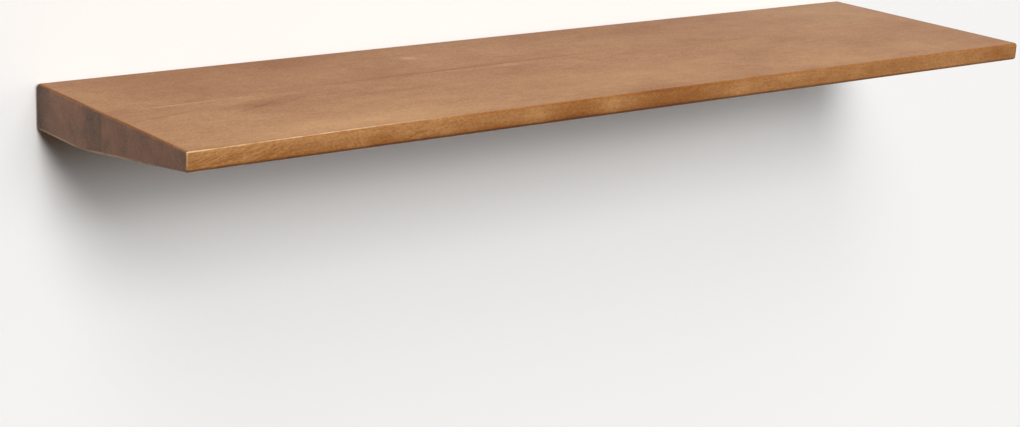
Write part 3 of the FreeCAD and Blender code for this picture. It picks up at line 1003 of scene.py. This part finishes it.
# %% Brass inserts
INSERT = [(0, 6.3), (0.2, 6.5), (1.2, 6.5), (1.2, 5.0), (9.5, 5.0), (10, 4.6)]
INSERT_BORE = [(-OVERRUN, 4.5), (0.45, 3.05), (11, 3.05)]
INSERT_EDGE = 0.1 * MM
insert_mouth = Vector((lock_xs["left"], -INSERT_DEPTH_FROM_WALL, UNDERSIDE))
left_insert = turned("brass_insert_left", insert_mouth, UP, INSERT)
cut(left_insert, turned("insert_bore", insert_mouth, UP, INSERT_BORE))
soften(left_insert, INSERT_EDGE)
right_insert = copy_to(left_insert, "brass_insert_right", (lock_xs["right"] - lock_xs["left"], 0, 0))
dress(left_insert, turned_brass, "shelf", "insert_brass", "lock_insert_left")
dress(right_insert, turned_brass, "shelf", "insert_brass", "lock_insert_right")

# %% [markdown]
# The set screws lock the shelf on its rods. Each is a headless stem, threaded all along, with a hexagon
# socket at the bottom end. Rings drawn on a cylinder would pass from afar, but a thread climbs, and a
# Screw modifier can wind it. The thread starts as one short edge, bent out to a crest in the middle.
# It is wound up the axis, then trimmed square and closed by two bisects with fill.

# %% The edge that a thread is wound from
THREAD_PITCH = 1.0 * MM
THREAD_CREST = 2.97 * MM
THREAD_DEPTH = 0.55 * MM
root_radius = THREAD_CREST - THREAD_DEPTH
let_go()
bpy.ops.mesh.primitive_plane_add(size=THREAD_PITCH, location=(root_radius + THREAD_PITCH / 2, 0, 0),
                                 rotation=(SQUARE, 0, 0))
left_screw = named("set_screw_left")
settle(left_screw)
open_mesh(left_screw)
pick(left_screw, "edges", lambda co: near(co.x, root_radius))
bpy.ops.mesh.select_all(action="INVERT")
bpy.ops.mesh.delete(type="EDGE")
bpy.ops.mesh.select_all(action="SELECT")
bpy.ops.mesh.subdivide(number_cuts=1)
bpy.ops.mesh.select_mode(type="VERT")
bpy.ops.mesh.select_all(action="DESELECT")
pick(left_screw, "verts", lambda co: near(co.z, 0))
bpy.ops.transform.translate(value=(THREAD_DEPTH, 0, 0))
close_mesh()
print("thread edge has", len(left_screw.data.vertices), "points")

# %% Wind the thread and trim it square
THREAD_STEPS = 32
SPARE_TURNS = 3
MERGE = 0.001 * MM
screw_low, screw_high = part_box("lock_screw_left")
screw_length = screw_high.z - screw_low.z
thread_turns = math.ceil(screw_length / THREAD_PITCH) + SPARE_TURNS
thread_start = SPARE_TURNS / 2 * THREAD_PITCH
apply_modifier(left_screw, "SCREW", axis="Z", angle=2 * math.pi, steps=THREAD_STEPS,
               render_steps=THREAD_STEPS, screw_offset=THREAD_PITCH, iterations=thread_turns)
open_mesh(left_screw)
bpy.ops.mesh.select_all(action="SELECT")
bpy.ops.mesh.remove_doubles(threshold=MERGE)
bpy.ops.mesh.normals_make_consistent(inside=False)
bpy.ops.mesh.bisect(plane_co=(0, 0, thread_start), plane_no=UP, use_fill=True, clear_inner=True)
bpy.ops.mesh.select_all(action="SELECT")
bpy.ops.mesh.bisect(plane_co=(0, 0, thread_start + screw_length), plane_no=UP, use_fill=True,
                    clear_outer=True)
bpy.ops.mesh.select_all(action="SELECT")
bpy.ops.mesh.normals_make_consistent(inside=False)
close_mesh()
print("thread of", thread_turns, "turns trimmed to", round(screw_length / MM, 1), "mm")

# %% Place the set screws and cut their sockets
KEY_THREE = 3 / math.sqrt(3)
SOCKET_THREE = [(-OVERRUN, KEY_THREE), (4, KEY_THREE), (4.7, 0.2)]
socket_place = Vector((lock_xs["left"], -INSERT_DEPTH_FROM_WALL, screw_low.z))
left_screw.location = socket_place - Vector((0, 0, thread_start))
settle(left_screw)
cut(left_screw, turned("socket", socket_place, UP, SOCKET_THREE, sides=6))
right_screw = copy_to(left_screw, "set_screw_right", (lock_xs["right"] - lock_xs["left"], 0, 0))
dress(left_screw, black_oxide, "lock_screw_left", "screw_steel", "lock_screw_left")
dress(right_screw, black_oxide, "lock_screw_right", "screw_steel", "lock_screw_right")

# %% [markdown]
# The camera stands off the left end, a little above the shelf, and is tipped slightly to one side. It
# could be aimed by eye or by a constraint. Its place, turns and focal length are worked out instead, so
# that the plank's edges fall on the pixels where the picture has them.

# %% Camera
IMAGE_WIDTH = 1020
FOCAL_PIXELS = 2062
SENSOR = 36.0
CAMERA_PLACE = Vector((-1154, -1492, 392)) * MM
CAMERA_YAW = math.radians(38.47)
CAMERA_PITCH = math.radians(16.1)
CAMERA_ROLL = math.radians(2.85)
camera_data = bpy.data.cameras.new("camera")
camera = bpy.data.objects.new("camera", camera_data)
bpy.context.scene.collection.objects.link(camera)
camera_data.sensor_fit = "HORIZONTAL"
camera_data.sensor_width = SENSOR
camera_data.lens = SENSOR * FOCAL_PIXELS / IMAGE_WIDTH
aim = Matrix.Rotation(-CAMERA_YAW, 4, "Z") @ Matrix.Rotation(SQUARE - CAMERA_PITCH, 4, "X")
camera.matrix_world = Matrix.Translation(CAMERA_PLACE) @ aim @ Matrix.Rotation(CAMERA_ROLL, 4, "Z")
bpy.context.scene.camera = camera
print("lens", round(camera_data.lens, 1), "mm")

# %% [markdown]
# The stage is a pale wall that the shelf hangs on and a pale floor well below it. They are not part of
# the object. Both catch its shadow. Matt paint alone would hide the shelf from a camera behind the
# wall, so each plane is clear from its back. Neither throws light back, because the world gives that
# light.

# %% Wall and floor
STAGE_SIZE = 14.0
WALL_GAP = 1 * MM
FLOOR_DROP = 1.2
WALL_PAINT = linear("#F9F8F6")
FLOOR_PAINT = linear("#F1F1EF")


def backdrop_paint(name, colour):
    """Matt pale paint that is clear from behind."""
    material = bpy.data.materials.new(name)
    tree = empty_tree(material)
    front = node(tree, "BsdfDiffuse", {"Color": colour})
    clear = node(tree, "BsdfTransparent")
    behind = node(tree, "NewGeometry", take="Backfacing")
    both = node(tree, "MixShader", {0: behind, 1: front, 2: clear})
    node(tree, "OutputMaterial", {"Surface": both})
    return material


def stage_plane(name, location, rotation, colour):
    """A large plane that the camera sees and that catches shadow, but throws no light back."""
    let_go()
    bpy.ops.mesh.primitive_plane_add(size=STAGE_SIZE, location=location, rotation=rotation)
    plane = named(name)
    settle(plane)
    plane.data.materials.append(backdrop_paint(name + "_paint", colour))
    plane.visible_diffuse = False
    plane.visible_glossy = False
    plane.visible_transmission = False
    plane.visible_shadow = False
    print(name, "is", STAGE_SIZE, "m wide")


stage_plane("wall", (0, WALL_GAP, STAGE_SIZE / 2 - FLOOR_DROP), (SQUARE, 0, 0), WALL_PAINT)
stage_plane("floor", (0, 0, -FLOOR_DROP), (0, 0, 0), FLOOR_PAINT)

# %% [markdown]
# Studio light. The shadow under the shelf tells where the light is: two softboxes in front, one above
# the other, a weaker one higher on the left, and a breath of fill from the right and from above. Area
# lamps could stand there, but a far, wide sun gives the same soft edge evenly along the whole shelf.
# They are as strong as makes a colour render about as it is written, and reflections see the white room
# instead.

# %% Lamps
# Name, azimuth to the left, height and spread in degrees, strength
LAMPS = [
    ("low_softbox", -1, 17, 20, 1.13),
    ("front_softbox", 8, 29, 20, 1.36),
    ("high_softbox", 26, 46, 29, 0.76),
    ("side_fill", -55, 14, 30, 0.39),
    ("overhead_softbox", 6, 85, 50, 0.37),
]


def soft_lamp(name, azimuth, height, spread, strength):
    """A distant softbox: even light from one direction, as wide as the spread."""
    data = bpy.data.lights.new(name, "SUN")
    data.energy = strength
    data.angle = math.radians(spread)
    lamp = bpy.data.objects.new(name, data)
    bpy.context.scene.collection.objects.link(lamp)
    lamp.rotation_euler = (SQUARE - math.radians(height), 0, -math.radians(azimuth))
    lamp.visible_glossy = False
    print(name, strength)


for row in LAMPS:
    soft_lamp(*row)

# %% [markdown]
# The world is the white room. The camera and reflections see it at full strength. Diffuse light from it
# is only what a lit wall would throw back: bright from behind the shelf, less from below, where the
# shelf shades the wall, and next to nothing from the dark room in front. One even level would be
# simpler, but it would wash out the shadow.

# %% White room
ROOM_WHITE = linear("#F8F8F6")
WALL_LEVEL = 0.9
SHADED_WALL_LEVEL = 0.35
ROOM_LEVEL = 0.01
SHADE_HEIGHTS = (-0.3, 0.1)
WALL_EDGE = 0.1
world = bpy.data.worlds.new("studio")
bpy.context.scene.world = world
sky = empty_tree(world)
way = node(sky, "TexCoord", take="Generated")
rise = node(sky, "SeparateXYZ", {0: way}, take="Z")
back = node(sky, "SeparateXYZ", {0: way}, take="Y")
level = node(sky, "MapRange", {
    "Value": rise, "From Min": SHADE_HEIGHTS[0], "From Max": SHADE_HEIGHTS[1],
    "To Min": SHADED_WALL_LEVEL, "To Max": WALL_LEVEL}, interpolation_type="SMOOTHSTEP")
level = node(sky, "MapRange", {
    "Value": back, "From Min": -WALL_EDGE, "From Max": WALL_EDGE,
    "To Min": ROOM_LEVEL, "To Max": level}, interpolation_type="SMOOTHSTEP")
seen = node(sky, "LightPath", take="Is Camera Ray")
for ray in ("Is Glossy Ray", "Is Transmission Ray"):
    other = node(sky, "LightPath", take=ray)
    seen = node(sky, "Math", {0: seen, 1: other}, operation="MAXIMUM")
strength = node(sky, "Mix", {0: seen, 2: level, 3: 1.0})
white_room = node(sky, "Background", {"Color": ROOM_WHITE, "Strength": strength})
node(sky, "OutputWorld", {"Surface": white_room})
print("wall throws back", WALL_LEVEL, "and", SHADED_WALL_LEVEL, "in the shade")

# %% [markdown]
# Last, the picture is shown with the Standard view, which leaves colours as they are.

# %% Finish with the Standard view
bpy.context.scene.view_settings.view_transform = "Standard"
